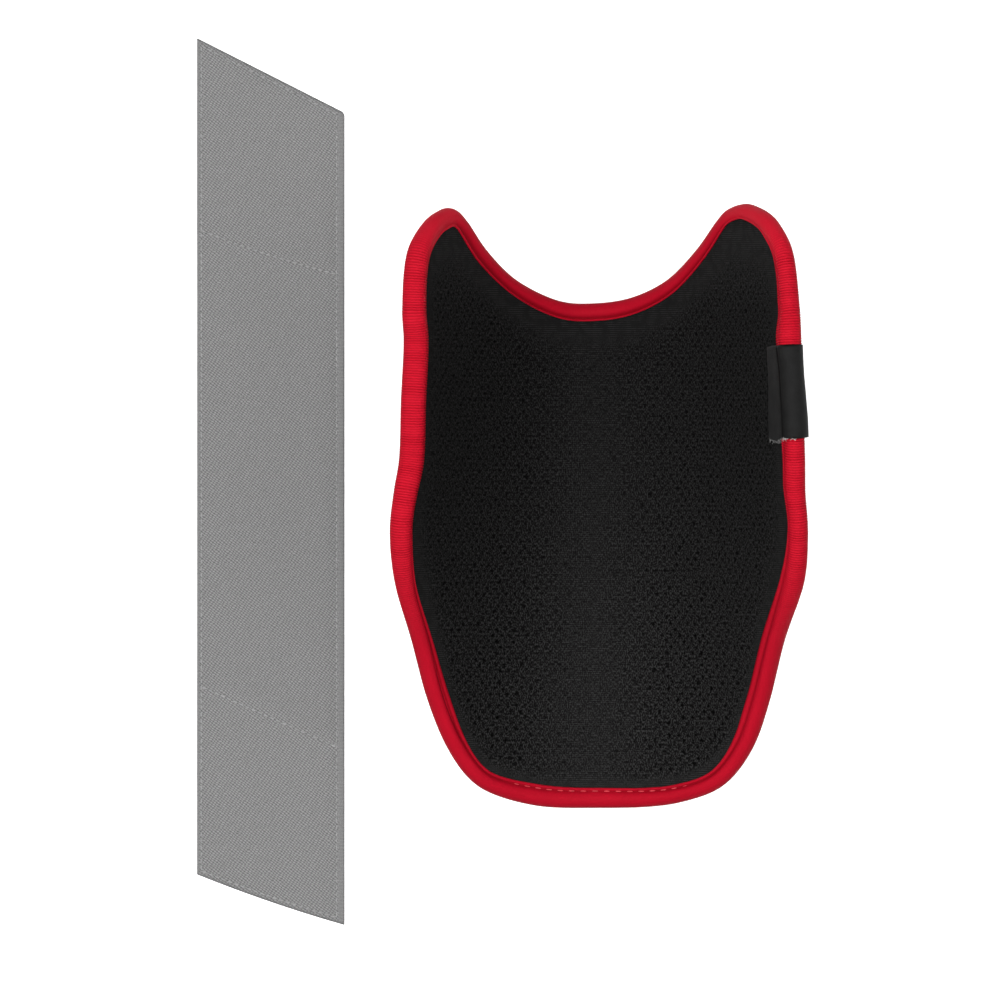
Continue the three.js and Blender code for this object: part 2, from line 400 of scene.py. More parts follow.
def smooth_line(knots, steps, closed=False):
    """Points along a smooth line through the knots."""
    count = len(knots)
    spans = count if closed else count - 1
    points = []
    for i in range(spans):
        if closed:
            p0, p1, p2, p3 = (knots[(i + k - 1) % count] for k in range(4))
        else:
            p1, p2 = knots[i], knots[i + 1]
            p0 = knots[i - 1] if i else p1 * 2 - p2
            p3 = knots[i + 2] if i + 2 < count else p2 * 2 - p1
        g0, g1, g2 = (math.sqrt((b - a).length) for a, b in ((p0, p1), (p1, p2), (p2, p3)))
        leave = ((p1 - p0) / g0 - (p2 - p0) / (g0 + g1) + (p2 - p1) / g1) * g1
        arrive = ((p2 - p1) / g1 - (p3 - p1) / (g1 + g2) + (p3 - p2) / g2) * g1
        points += interpolate_bezier(p1, p1 + leave / 3, p2 - arrive / 3, p2, steps + 1)[:-1]
    return points if closed else points + [knots[-1]]


def walk_edge():
    right = [(x, y) for y, _, x in reversed(SIDE_STATIONS)]
    left = [(x, y) for y, x, _ in SIDE_STATIONS]
    knots = [Vector((x, y, 0.0)) for x, y in right + UPPER_END[::-1] + left + LOWER_END]
    outline = smooth_line(knots, EDGE_STEPS, closed=True)
    count = len(outline)
    middles = []
    for i, point in enumerate(outline):
        run = (outline[(i + 1) % count] - outline[i - 1]).normalized()
        place = point + Vector((-run.y, run.x, 0.0)) * BEAD_RADIUS
        middles.append(off_seam(place.x, place.y, 0.0))
    stations = []
    along = 0.0
    for i, middle in enumerate(middles):
        onward = middles[(i + 1) % count]
        face = seam_normal(middle.x, middle.y)
        out = (onward - middles[i - 1]).cross(face).normalized()
        stations.append(Station(along, middle, face, out))
        along += (onward - middle).length
    return stations, along


edge, edge_length = walk_edge()
edge_alongs = [station.along for station in edge]
edge_tree = KDTree(len(edge))
plan_tree = KDTree(len(edge))
for index, station in enumerate(edge):
    edge_tree.insert(station.middle, index)
    plan_tree.insert((station.middle.x, station.middle.y, 0.0), index)
edge_tree.balance()
plan_tree.balance()


def edge_at(along):
    along %= edge_length
    index = bisect_right(edge_alongs, along) - 1
    first = edge[index]
    second = edge[(index + 1) % len(edge)]
    end = second.along if index + 1 < len(edge) else edge_length
    share = (along - first.along) / (end - first.along)
    return Station(
        along,
        first.middle.lerp(second.middle, share),
        first.face.lerp(second.face, share).normalized(),
        first.out.lerp(second.out, share).normalized(),
    )


def in_section(station, out, face):
    return station.middle + station.out * out + station.face * face


def drawn_in(x, y):
    """The point itself, or the nearest one on the edge where it lies outside, and whether it was inside."""
    point = Vector((x, y, 0.0))
    place, index, _ = plan_tree.find(point)
    run = edge[(index + 1) % len(edge)].middle - edge[index - 1].middle
    if (point - place).dot(Vector((run.y, -run.x, 0.0))) > 0.0:
        return place.x, place.y, False
    return x, y, True


def lay_rows():
    rows = []
    for x, y, *lay in TAPE_LAY:
        index = plan_tree.find((x, y, 0.0))[1]
        rows.append((edge[index].along, lay))
    return sorted(rows)


tape_rows = lay_rows()


def tape_lay(along):
    """The lip's reach, the crown's lift, the groove's depth and the lip's extra width along the edge."""
    count = len(tape_rows)
    after = bisect_right(tape_rows, along % edge_length, key=lambda row: row[0]) % count
    start, first = tape_rows[after - 1]
    end, second = tape_rows[after]
    share = smoothstep((along - start) % edge_length, 0.0, (end - start) % edge_length)
    return [mix(low, high, share) for low, high in zip(first, second)]


def in_tape(station, point):
    """A point of the tape's section, drawn to where the tape lies at this station."""
    reach, lift, depth, wider = tape_lay(station.along)
    out = point.out * reach if point.out < 0.0 else point.out
    face = point.face - math.copysign(point.groove * depth, point.face)
    if point.face > 0.0:
        face += point.lift * lift
    return in_section(station, out + point.wider * wider, face)


def off_edge(x, y):
    return edge_tree.find(off_seam(x, y, 0.0))[2]


def fullness(distance):
    return smoothstep(distance, LEG + PAD_ROLL_FROM, LEG + PAD_ROLL_TO)


# Mesh helpers

def write_uv(bm, place=None):
    """Keeps the flat places of the cloth, in millimetres, as its UV map."""
    layer = bm.loops.layers.uv.new("cloth")
    for face in bm.faces:
        for loop in face.loops:
            vert = loop.vert.co
            loop[layer].uv = place(vert) if place else vert.xy


def add_back(bm, depth):
    """Closes a flat sheet into a block by a second sheet below it, and turns its faces outwards."""
    made = bmesh.ops.extrude_face_region(bm, geom=bm.faces[:], use_keep_orig=True)
    lower = [item for item in made["geom"] if isinstance(item, bmesh.types.BMVert)]
    bmesh.ops.translate(bm, verts=lower, vec=(0.0, 0.0, -depth))
    bmesh.ops.recalc_face_normals(bm, faces=bm.faces)


def graded_sheet(columns, rows):
    """A flat grid whose vertex places are column and row numbers."""
    bm = bmesh.new()
    across = columns - 1
    along = rows - 1
    stretch = Matrix.Translation((across / 2, along / 2, 0.0)) @ Matrix.Diagonal((across, along, 1.0, 1.0))
    bmesh.ops.create_grid(bm, x_segments=across, y_segments=along, size=0.5, matrix=stretch)
    return bm


def new_object(name, data):
    made = bpy.data.objects.new(name, data)
    bpy.context.scene.collection.objects.link(made)
    return made


def mesh_object(name, bm, material):
    mesh = bpy.data.meshes.new(name)
    bm.to_mesh(mesh)
    bm.free()
    mesh.materials.append(material)
    return new_object(name, mesh)


def finished(name, bm, material, slot, *nodes, shift=0.0):
    """A piece in metres at its place in the frame, instead of the CAD nodes that it stands for."""
    bmesh.ops.recalc_face_normals(bm, faces=bm.faces)
    bmesh.ops.translate(bm, verts=bm.verts, vec=(shift, 0.0, 0.0))
    bmesh.ops.scale(bm, verts=bm.verts, vec=(MM, MM, MM))
    piece = mesh_object(name, bm, material)
    piece.data.shade_smooth()
    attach(piece, "root")
    if nodes:
        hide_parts(*nodes)
    return piece


# Node helpers

def feed(tree, socket, value):
    if isinstance(value, bpy.types.NodeSocket):
        tree.links.new(value, socket)
    else:
        socket.default_value = value


def add_node(tree, kind, **values):
    made = tree.nodes.new(kind)
    for name, value in values.items():
        feed(tree, made.inputs[name], value)
    return made


def calc(tree, operation, *values):
    made = tree.nodes.new("ShaderNodeMath")
    made.operation = operation
    for socket, value in zip(made.inputs, values):
        feed(tree, socket, value)
    return made.outputs[0]


def axes(tree, vector):
    return add_node(tree, "ShaderNodeSeparateXYZ", Vector=vector).outputs


def times(tree, first, second):
    return calc(tree, "MULTIPLY", first, second)


def weighed(tree, first, share, second, other_share):
    """The sum of two values, each with its own weight."""
    return calc(tree, "MULTIPLY_ADD", first, share, times(tree, second, other_share))


def rgba(colour):
    """A colour of three numbers or a grey of one for a socket, or a socket as it is."""
    if isinstance(colour, float):
        colour = (colour, colour, colour)
    return (*colour, 1.0) if isinstance(colour, tuple) else colour


def tint(tree, share, first, second):
    """A colour between two, by a share that varies over the surface."""
    made = tree.nodes.new("ShaderNodeMix")
    made.data_type = "RGBA"
    feed(tree, made.inputs[0], share)
    feed(tree, made.inputs[6], rgba(first))
    feed(tree, made.inputs[7], rgba(second))
    return made.outputs[2]


def scaled(tree, colour, factor):
    made = tree.nodes.new("ShaderNodeVectorMath")
    made.operation = "SCALE"
    feed(tree, made.inputs["Vector"], colour)
    feed(tree, made.inputs["Scale"], factor)
    return made.outputs["Vector"]


def ramp(tree, value, low, high, first, second):
    """A value that eases from first to second while another goes from low to high."""
    made = add_node(tree, "ShaderNodeMapRange", Value=value)
    made.interpolation_type = "SMOOTHSTEP"
    for name, number in (("From Min", low), ("From Max", high), ("To Min", first), ("To Max", second)):
        made.inputs[name].default_value = number
    return made.outputs["Result"]


def new_group(name, outputs, **numbers):
    """A shader node group that takes a place on the cloth and numbers, and puts out values."""
    group = bpy.data.node_groups.new(name, "ShaderNodeTree")
    group.interface.new_socket(name="Place", in_out="INPUT", socket_type="NodeSocketVector")
    for label, value in numbers.items():
        socket = group.interface.new_socket(name=label, in_out="INPUT", socket_type="NodeSocketFloat")
        socket.default_value = value
    for label in outputs:
        group.interface.new_socket(name=label, in_out="OUTPUT", socket_type="NodeSocketFloat")
    entry = group.nodes.new("NodeGroupInput")
    leave = group.nodes.new("NodeGroupOutput")
    return group, entry.outputs, leave.inputs


def use_group(tree, group, **values):
    made = add_node(tree, "ShaderNodeGroup")
    made.node_tree = group
    for label, value in values.items():
        feed(tree, made.inputs[label], value)
    return made.outputs


def float_weave():
    """Yarns that float over several others and step aside from row to row, as in twill and satin.

    Stagger turns the pattern over between the rows, so that a twill shows both of its diagonals.
    """
    group, given, result = new_group(
        "float_weave", ["Height", "Shade", "Stagger"],
        Repeat=1.3, Row=0.6, Step=0.333, Float=0.67, Wander=0.0)
    place = axes(group, given["Place"])
    stray = add_node(group, "ShaderNodeTexNoise", Vector=given["Place"], Scale=0.5, Detail=2.0)
    wander = times(group, calc(group, "SUBTRACT", stray.outputs["Fac"], 0.5), given["Wander"])
    line = calc(group, "DIVIDE", place["Y"], given["Row"])
    row = calc(group, "FLOOR", line)
    run = calc(group, "DIVIDE", calc(group, "ADD", place["X"], wander), given["Repeat"])
    phase = calc(group, "FRACT", calc(group, "SUBTRACT", run, times(group, row, given["Step"])))
    share = calc(group, "MINIMUM", calc(group, "DIVIDE", phase, given["Float"]), 1.0)
    raised = calc(group, "SINE", times(group, share, math.pi))
    plump = calc(group, "POWER", calc(group, "MAXIMUM", raised, 0.0), 0.6)
    round_yarn = calc(group, "SINE", times(group, calc(group, "FRACT", line), math.pi))
    lit = calc(group, "MULTIPLY_ADD", round_yarn, 0.5, 0.5)
    turned = calc(group, "MULTIPLY_ADD", round_yarn, 2.3, -1.3)
    feed(group, result["Height"], times(group, plump, calc(group, "POWER", round_yarn, 0.7)))
    feed(group, result["Shade"], times(group, plump, lit))
    feed(group, result["Stagger"], times(group, calc(group, "SUBTRACT", plump, 0.55), turned))
    return group


def knit_loops():
    """Courses of knitted loops, each a row of shallow V shapes."""
    group, given, result = new_group("knit_loops", ["Height", "Shade"], Course=1.0, Wale=0.9, Slant=0.35)
    place = axes(group, given["Place"])
    wale = calc(group, "FRACT", calc(group, "DIVIDE", place["X"], given["Wale"]))
    limb = calc(group, "ABSOLUTE", calc(group, "MULTIPLY_ADD", wale, 2.0, -1.0))
    lean = times(group, limb, given["Slant"])
    course = calc(group, "ADD", calc(group, "DIVIDE", place["Y"], given["Course"]), lean)
    ridge = calc(group, "SINE", times(group, calc(group, "FRACT", course), math.pi))
    column = calc(group, "SINE", times(group, limb, math.pi))
    height = times(group, ridge, calc(group, "MULTIPLY_ADD", column, 0.6, 0.4))
    feed(group, result["Height"], height)
    feed(group, result["Shade"], calc(group, "POWER", height, 0.8))
    return group


def fibre_fuzz():
    """Loose fibres and slow changes of tone over a cloth."""
    group, given, result = new_group("fibre_fuzz", ["Fibres", "Patches"], Fibre=2.5, Patch=0.05)
    fibres = add_node(group, "ShaderNodeTexNoise", Vector=given["Place"], Scale=given["Fibre"], Detail=3.0)
    patches = add_node(group, "ShaderNodeTexNoise", Vector=given["Place"], Scale=given["Patch"], Detail=2.0)
    feed(group, result["Fibres"], fibres.outputs["Fac"])
    feed(group, result["Patches"], patches.outputs["Fac"])
    return group


WEAVE = float_weave()
KNIT = knit_loops()
FUZZ = fibre_fuzz()


def new_material(name, constants):
    """A material with constants on its shader's own sockets."""
    material = bpy.data.materials.new(name)
    material.use_nodes = True
    shader = material.node_tree.nodes["Principled BSDF"]
    for socket, value in constants.items():
        shader.inputs[socket].default_value = value
    return material


def cloth_material(name, roughness, specular, sheen=0.0, sheen_colour=1.0):
    """A material, its node tree and the place on the flat cloth."""
    material = new_material(name, {
        "Roughness": roughness,
        "Specular IOR Level": specular,
        "Sheen Weight": sheen,
        "Sheen Roughness": 0.5,
        "Sheen Tint": rgba(sheen_colour),
    })
    tree = material.node_tree
    place = tree.nodes.new("ShaderNodeUVMap")
    place.uv_map = "cloth"
    return material, tree, place.outputs["UV"]


def attribute(tree, name):
    made = tree.nodes.new("ShaderNodeAttribute")
    made.attribute_name = name
    return made.outputs["Fac"]


def frayed(tree, tone, fuzz, amount):
    """A tone that loose fibres make lighter and darker."""
    return calc(tree, "MULTIPLY_ADD", calc(tree, "SUBTRACT", fuzz["Fibres"], 0.5), amount, tone)


def dressed(material, colour, height, depth):
    """The material in a colour, with relief from a height of about 0 to 1, depth in millimetres."""
    tree = material.node_tree
    shader = tree.nodes["Principled BSDF"]
    bump = add_node(tree, "ShaderNodeBump", Strength=1.0, Distance=depth * MM, Height=height)
    feed(tree, shader.inputs["Base Color"], colour)
    feed(tree, shader.inputs["Normal"], bump.outputs["Normal"])
    return material


def air_mesh():
    material, tree, place = cloth_material("air_mesh", roughness=0.95, specular=0.06)
    knit = use_group(tree, KNIT, Place=place, Course=0.72, Wale=0.86, Slant=0.15)
    fuzz = use_group(tree, FUZZ, Place=place, Fibre=1.9, Patch=0.3)
    upright = tree.nodes.new("ShaderNodeVectorMath")
    upright.operation = "MULTIPLY"
    feed(tree, upright.inputs[0], place)
    feed(tree, upright.inputs[1], (1.0, 0.5, 1.0))
    yarn = use_group(tree, FUZZ, Place=upright.outputs["Vector"], Fibre=2.6, Patch=0.5)
    strokes = ramp(tree, yarn["Fibres"], 0.37, 0.64, -0.12, 1.25)
    faint = ramp(tree, fuzz["Patches"], 0.36, 0.6, 0.15, 0.95)
    courses = calc(tree, "MULTIPLY_ADD", calc(tree, "SUBTRACT", knit["Shade"], 0.4), faint, 0.5)
    apart = calc(tree, "SUBTRACT", strokes, courses)
    open_mesh = calc(tree, "POWER", attribute(tree, "open"), 0.6)
    tone = calc(tree, "MULTIPLY_ADD", apart, open_mesh, courses)
    light = calc(tree, "POWER", calc(tree, "MAXIMUM", tone, 0.0), 1.8)
    colour = tint(tree, light, 0.0025, (0.0272, 0.0272, 0.027))
    across, along, _ = axes(tree, place)
    # Painted light and shade: darker towards the flanks and the upper end, lighter towards the lower end and
    # on the horns.
    towards_flank = ramp(tree, calc(tree, "ABSOLUTE", across), 15.0, 80.0, 0.97, 0.86)
    towards_end = ramp(tree, times(tree, along, -1.0), -60.0, 75.0, 0.86, 1.28)
    on_horn = ramp(tree, along, 55.0, 85.0, 1.0, 1.3)
    shade = times(tree, times(tree, towards_flank, towards_end), on_horn)
    # Painted shade in the holes, darkest at their floors.
    colour = tint(tree, attribute(tree, "hole_shade"), scaled(tree, colour, shade), 0.0008)
    return dressed(material, colour, tone, 0.16)


def knit_back():
    material, tree, place = cloth_material(
        "knit_back", roughness=0.9, specular=0.12, sheen=0.1, sheen_colour=(0.5, 0.5, 0.52))
    knit = use_group(tree, KNIT, Place=place, Course=1.3, Wale=1.6, Slant=0.5)
    fuzz = use_group(tree, FUZZ, Place=place, Fibre=1.6, Patch=0.04)
    tone = frayed(tree, weighed(tree, fuzz["Patches"], 0.35, knit["Shade"], 0.75), fuzz, 0.8)
    colour = tint(tree, tone, (0.0035, 0.0035, 0.0038), (0.027, 0.027, 0.0285))
    return dressed(material, colour, calc(tree, "MULTIPLY_ADD", fuzz["Fibres"], 0.4, knit["Height"]), 0.45)


def binding_tape():
    material, tree, place = cloth_material("binding_tape", roughness=0.55, specular=0.03)
    fuzz = use_group(tree, FUZZ, Place=place, Fibre=1.1, Patch=0.06)
    tone = weighed(tree, fuzz["Fibres"], 0.5, fuzz["Patches"], 0.5)
    # Painted light and shade: a darker red where the tape lies in shade, a lighter red where it is lit.
    shaded_red = tint(tree, tone, (0.33, 0.003, 0.0122), (0.47, 0.005, 0.02))
    lit_red = tint(tree, tone, (0.5, 0.0062, 0.0195), (0.635, 0.0105, 0.0305))
    colour = tint(tree, attribute(tree, "painted_tape_light"), shaded_red, lit_red)
    turn = times(tree, axes(tree, place)["X"], TURN / RIB_PITCH)
    rib = calc(tree, "MULTIPLY_ADD", calc(tree, "SINE", turn), 0.5, 0.5)
    # Painted shade in the rib valleys.
    valley = times(tree, calc(tree, "SUBTRACT", 1.0, rib), attribute(tree, "ribbed"))
    colour = tint(tree, times(tree, valley, 0.8), colour, (0.24, 0.001, 0.006))
    # Painted shade in the sewn groove, darker where it is deeper.
    groove_shade = ramp(tree, attribute(tree, "groove"), 0.06, 0.6, 0.0, 0.68)
    colour = tint(tree, groove_shade, colour, (0.12, 0.0005, 0.003))
    return dressed(material, colour, calc(tree, "MULTIPLY_ADD", fuzz["Fibres"], 1.2, rib), 0.02)


def satin():
    material, tree, place = cloth_material("satin", roughness=0.6, specular=0.12)
    weave = use_group(tree, WEAVE, Place=place, Repeat=0.9, Row=0.18, Step=0.4, Float=0.85)
    fuzz = use_group(tree, FUZZ, Place=place, Fibre=1.4, Patch=0.3)
    tone = frayed(tree, weighed(tree, fuzz["Patches"], 0.8, weave["Shade"], 0.3), fuzz, 0.9)
    along = axes(tree, place)["Y"]
    # Painted shade along the crease, and painted light on the flap past it: darker on the bead, lighter on
    # the lining.
    off_crease = calc(tree, "ABSOLUTE", calc(tree, "SUBTRACT", along, label_crease))
    crease_shade = ramp(tree, off_crease, 0.4, 1.7, 0.12, 1.0)
    flap = ramp(tree, along, label_crease, label_crease + 2.0, 0.76, 1.55)
    colour = scaled(tree, tint(tree, tone, 0.005, 0.0155), times(tree, crease_shade, flap))
    # Darker along the label's top edge.
    colour = tint(tree, attribute(tree, "dark_top_edge"), colour, 0.002)
    return dressed(material, colour, calc(tree, "MULTIPLY_ADD", fuzz["Fibres"], 2.0, weave["Height"]), 0.03)


def twill():
    material, tree, place = cloth_material("twill", roughness=0.9, specular=0.15)
    weave = use_group(
        tree, WEAVE, Place=place, Repeat=1.296, Row=0.622, Step=1.0 / 3.0, Float=0.74, Wander=1.3)
    fuzz = use_group(tree, FUZZ, Place=place, Fibre=2.6, Patch=0.35)
    selvedge = attribute(tree, "selvedge")
    clear = ramp(tree, fuzz["Patches"], 0.34, 0.6, 0.55, 1.3)
    woven = times(tree, calc(tree, "SUBTRACT", 1.0, selvedge), clear)
    relief = times(tree, weave["Stagger"], woven)
    pick = calc(tree, "SINE", times(tree, axes(tree, place)["Y"], TURN / SELVEDGE_PICK))
    tone = calc(tree, "MULTIPLY_ADD", relief, 2.2, 0.43)
    tone = calc(tree, "MULTIPLY_ADD", times(tree, pick, selvedge), 0.06, tone)
    colour = tint(tree, frayed(tree, tone, fuzz, 1.1), 0.1, 0.322)
    colour = tint(tree, attribute(tree, "cut"), colour, 0.1)
    return dressed(material, colour, calc(tree, "ADD", fuzz["Fibres"], relief), 0.03)


def hook_tape():
    material, tree, place = cloth_material("hook_tape", roughness=0.6, specular=0.3)
    weave = use_group(tree, WEAVE, Place=place, Repeat=1.0, Row=0.5, Step=0.5, Float=0.5)
    fuzz = use_group(tree, FUZZ, Place=place, Fibre=2.0, Patch=0.05)
    tone = weighed(tree, fuzz["Fibres"], 0.5, weave["Shade"], 0.5)
    colour = tint(tree, tone, 0.02, 0.045)
    return dressed(material, colour, weave["Height"], 0.08)


def sewing_thread(name, dark, light, fade=None):
    material, tree, place = cloth_material(name, roughness=0.6, specular=0.3)
    twist = use_group(tree, WEAVE, Place=place, Repeat=0.3, Row=0.12, Step=0.25, Float=0.8)
    fuzz = use_group(tree, FUZZ, Place=place, Fibre=4.0, Patch=0.2)
    colour = tint(tree, weighed(tree, fuzz["Patches"], 0.6, twist["Shade"], 0.4), dark, light)
    if fade:
        colour = scaled(tree, colour, attribute(tree, fade))
    return dressed(material, colour, twist["Height"], 0.05)


# Lining and shell: flat cloth cut to the edge, worked flat, then bent over the seam

def cut_cloth(cell, count):
    """A flat blank in cells, cut to the guard's edge; x is the length across the bend, y along it."""
    bm = bmesh.new()
    bmesh.ops.create_grid(bm, x_segments=count, y_segments=count, size=count / 2, matrix=cell)
    stray = []
    for face in bm.faces:
        middle = face.calc_center_median()
        if not drawn_in(cloth_x(middle.x, middle.y), middle.y)[2]:
            stray.append(face)
    bmesh.ops.delete(bm, geom=stray, context="FACES")
    return bm


def hole_share(x, y):
    """How open the lining's holes are: shut along the seam, small at the keel, wide on the flanks."""
    low = smoothstep(-y, *HOLES_LOW)
    open_share = smoothstep(off_edge(x, y), mix(*HOLES_FROM, low), mix(*HOLES_TO, low))
    open_share *= 1.0 - smoothstep(y, *HOLES_HORN)
    return open_share * mix(HOLES_AT_KEEL, 1.0, smoothstep(abs(x), 0.0, HOLES_SPREAD))


def make_lining():
    half_across = HOLE_ACROSS / 2
    half_along = HOLE_ALONG / 2
    lattice = Matrix((
        (half_across, -half_across, 0.0, 0.0),
        (half_along, half_along, 0.0, 0.0),
        (0.0, 0.0, 1.0, 0.0),
        (0.0, 0.0, 0.0, 1.0),
    ))
    bm = cut_cloth(lattice, HOLE_CELLS)
    add_back(bm, LINING_FULL)
    draw = random.Random(HOLE_SEED)
    holes = []
    for face in bm.faces:
        middle = face.calc_center_median()
        if middle.z == 0.0 and hole_share(cloth_x(middle.x, middle.y), middle.y) > HOLES_CLOSED:
            holes.append(face)
    for vert in bm.verts:
        if vert.co.z == 0.0:
            vert.co.x += draw.uniform(-HOLE_STRAY, HOLE_STRAY)
            vert.co.y += draw.uniform(-HOLE_STRAY, HOLE_STRAY)
    bmesh.ops.inset_individual(bm, faces=holes, thickness=HOLE_BORDER, depth=-HOLE_DISH)
    bmesh.ops.inset_individual(bm, faces=holes, thickness=HOLE_WALL, depth=-HOLE_DEPTH)
    for face in holes:
        depth = HOLE_DEPTH * draw.uniform(HOLE_SHALLOWEST, 1.0)
        for vert in face.verts:
            vert.co.z = -HOLE_DISH - depth
    write_uv(bm)
    # Painted shade in the holes, by how deep a point lies in its hole.
    hole_shade = bm.verts.layers.float.new("hole_shade")
    open_mesh = bm.verts.layers.float.new("open")
    for vert in bm.verts:
        x, y, _ = drawn_in(cloth_x(vert.co.x, vert.co.y), vert.co.y)
        height = FABRIC_GAP / 2
        if vert.co.z > -LINING_FULL:
            vert[open_mesh] = hole_share(x, y)
            relief = vert.co.z * vert[open_mesh]
            vert[hole_shade] = min(1.0, -relief / HOLE_DEPTH)
            height += mix(LINING_EDGE, LINING_FULL, fullness(off_edge(x, y))) + relief
        vert.co = off_seam(x, y, height)
    lining = finished("lining", bm, air_mesh(), "air_mesh", "mesh_lining", shift=KEEL_X)
    return lining


def make_shell():
    square = Matrix.Diagonal((BACK_CELL, BACK_CELL, 1.0, 1.0))
    bm = cut_cloth(square, BACK_CELLS)
    add_back(bm, SHELL_FULL)
    write_uv(bm)
    for vert in bm.verts:
        x, y, _ = drawn_in(cloth_x(vert.co.x, vert.co.y), vert.co.y)
        height = -FABRIC_GAP / 2
        if vert.co.z < 0.0:
            height -= mix(SHELL_EDGE, SHELL_FULL, fullness(off_edge(x, y)))
        place = off_seam(x, y, height)
        place.z = max(place.z, 0.0)
        vert.co = place
    shell = finished("shell", bm, knit_back(), "knit_back", "pad_shell", shift=KEEL_X)
    return shell


# Binding

def tape_section():
    """The tape's section in three runs: over the front, inside the fold, and over the back."""
    front = [TapePoint(BEAD_RADIUS, 0.0)]
    sewn_at = LIP_PROFILE[EDGE_STITCH_ROW][0]
    for turn in map(math.radians, BEAD_TURNS):
        out = BEAD_RADIUS * math.cos(turn)
        wider = (BEAD_RADIUS - out) / (BEAD_RADIUS - sewn_at)
        front.append(TapePoint(out, BEAD_RADIUS * math.sin(turn), math.sin(turn), 0.0, wider))
    front += [TapePoint(*row) for row in LIP_PROFILE]
    back = [point._replace(face=-point.face) for point in reversed(front[1:])]
    inside = []
    for turn in map(math.radians, FOLD_TURNS):
        inside.append(TapePoint(FOLD_RADIUS * math.cos(turn), FOLD_RADIUS * math.sin(turn)))
    return front, inside, back


def ribbing(station):
    """How far the tape's ribs stand out: on the flanks, and smooth where it is stretched round the ends."""
    y = station.middle.y
    if abs(station.middle.x) < RIB_FLANK:
        return 0.0
    first, second = (math.sin(wave * station.along) for wave in RIB_WAVES)
    uneven = 1.0 - RIB_UNEVEN + RIB_UNEVEN * first * second
    return uneven * smoothstep(y, *RIB_BOTTOM) * (1.0 - smoothstep(y, *RIB_TOP))


def tape_light_share(station):
    """Painted light and shade on the tape: lighter on the flanks and horns where it faces outwards, darker
    in the notch and at the lower end.
    """
    x, y, _ = station.middle
    outward = station.out.xy.normalized().x * math.copysign(1.0, x)
    at_end = mix(TAPE_LIGHT_LOW_END, 1.0, smoothstep(y, *RIB_BOTTOM))
    return smoothstep(outward, *TAPE_LIGHT_OUTWARD) * smoothstep(abs(x), TAPE_LIGHT_FROM, RIB_FLANK) * at_end


def binding_stations():
    """Stations close together where the tape is ribbed, and further apart elsewhere."""
    fine = RIB_PITCH / RIB_ROWS
    stations = []
    along = 0.0
    while along < edge_length - fine / 2:
        station = edge_at(along)
        stations.append(station)
        along += fine if ribbing(station) > 0.0 else PLAIN_STEP
    stations.append(edge_at(0.0)._replace(along=edge_length))
    return stations


def make_binding():
    front, inside, back = tape_section()
    section = front + inside + back
    outside = [True] * len(front) + [False] * len(inside) + [True] * len(back)
    section.append(section[0])
    outside.append(True)
    rounds = running_lengths([Vector(point[:2]) for point in section])
    stations = binding_stations()
    bm = graded_sheet(len(stations), len(section))
    write_uv(bm, lambda vert: (stations[round(vert.x)].along, rounds[round(vert.y)]))
    ribbed = bm.verts.layers.float.new("ribbed")
    painted_tape_light = bm.verts.layers.float.new("painted_tape_light")
    sunk = bm.verts.layers.float.new("groove")
    for vert in bm.verts:
        column, row = round(vert.co.x), round(vert.co.y)
        station = stations[column]
        point = section[row]
        if outside[row]:
            # The groove's depth also marks painted shade in the groove.
            vert[sunk] = point.groove * tape_lay(station.along)[2]
            # Painted light and shade on the tape.
            vert[painted_tape_light] = tape_light_share(station)
            vert[ribbed] = ribbing(station)
            wave = 0.5 * math.sin(TURN * station.along / RIB_PITCH)
            swell = 1.0 + RIB_HEIGHT * vert[ribbed] * wave / BEAD_RADIUS
            point = point._replace(out=point.out * swell, face=point.face * swell)
        vert.co = in_tape(station, point)
    bmesh.ops.remove_doubles(bm, verts=bm.verts, dist=WELD)
    binding = finished("binding", bm, binding_tape(), "binding_tape", "edge_binding", shift=KEEL_X)
    return binding


# Stitches

def sew(name, places, size, material, slot, shift=0.0):
    """Stitches as plump short loops of thread; a place is a middle, the way it runs and the way up."""
    length, thick, _ = size
    plump = Matrix.Diagonal((thick / 2, thick / 2, length / 2, 1.0))
    bm = bmesh.new()
    for middle, run, up in places:
        run = run.normalized()
        side = up.cross(run).normalized()
        turn = Matrix((side, run.cross(side), run)).transposed().to_4x4()
        turn.translation = middle
        bmesh.ops.create_uvsphere(
            bm, u_segments=STITCH_SIDES, v_segments=STITCH_RINGS, radius=1.0, matrix=turn @ plump)
    write_uv(bm)
    return finished(name, bm, material, slot, shift=shift)


def edge_stitches(face_side):
    """Stitches in the groove, which sink into the tape where it is drawn tight."""
    sewn = TapePoint(*LIP_PROFILE[EDGE_STITCH_ROW])
    count = round(edge_length / EDGE_STITCH[2])
    pitch = edge_length / count
    places = []
    for i in range(count):
        here, ahead = edge_at(i * pitch), edge_at(i * pitch + STITCH_AHEAD)
        sunk = EDGE_STITCH_SUNK * (1.0 - smoothstep(-here.middle.y, *EDGE_STITCH_SHOWS))
        point = sewn._replace(face=(sewn.face + EDGE_STITCH_RISE - sunk) * face_side)
        middle = in_tape(here, point)
        places.append((middle, in_tape(ahead, point) - middle, here.face * face_side))
    return places


# Label

def along_at(y):
    """How far round the edge the right flank, where the edge starts, first reaches a height in the plan."""
    return next(station.along for station in edge if station.middle.y >= y)


label_run = smooth_line([Vector((out, face, 0.0)) for out, face in LABEL_RUN], LABEL_STEPS)
label_lengths = running_lengths(label_run)
label_crease = label_lengths[LABEL_CREASE * LABEL_STEPS]
label_ends = along_at(LABEL_BOTTOM), along_at(LABEL_TOP)


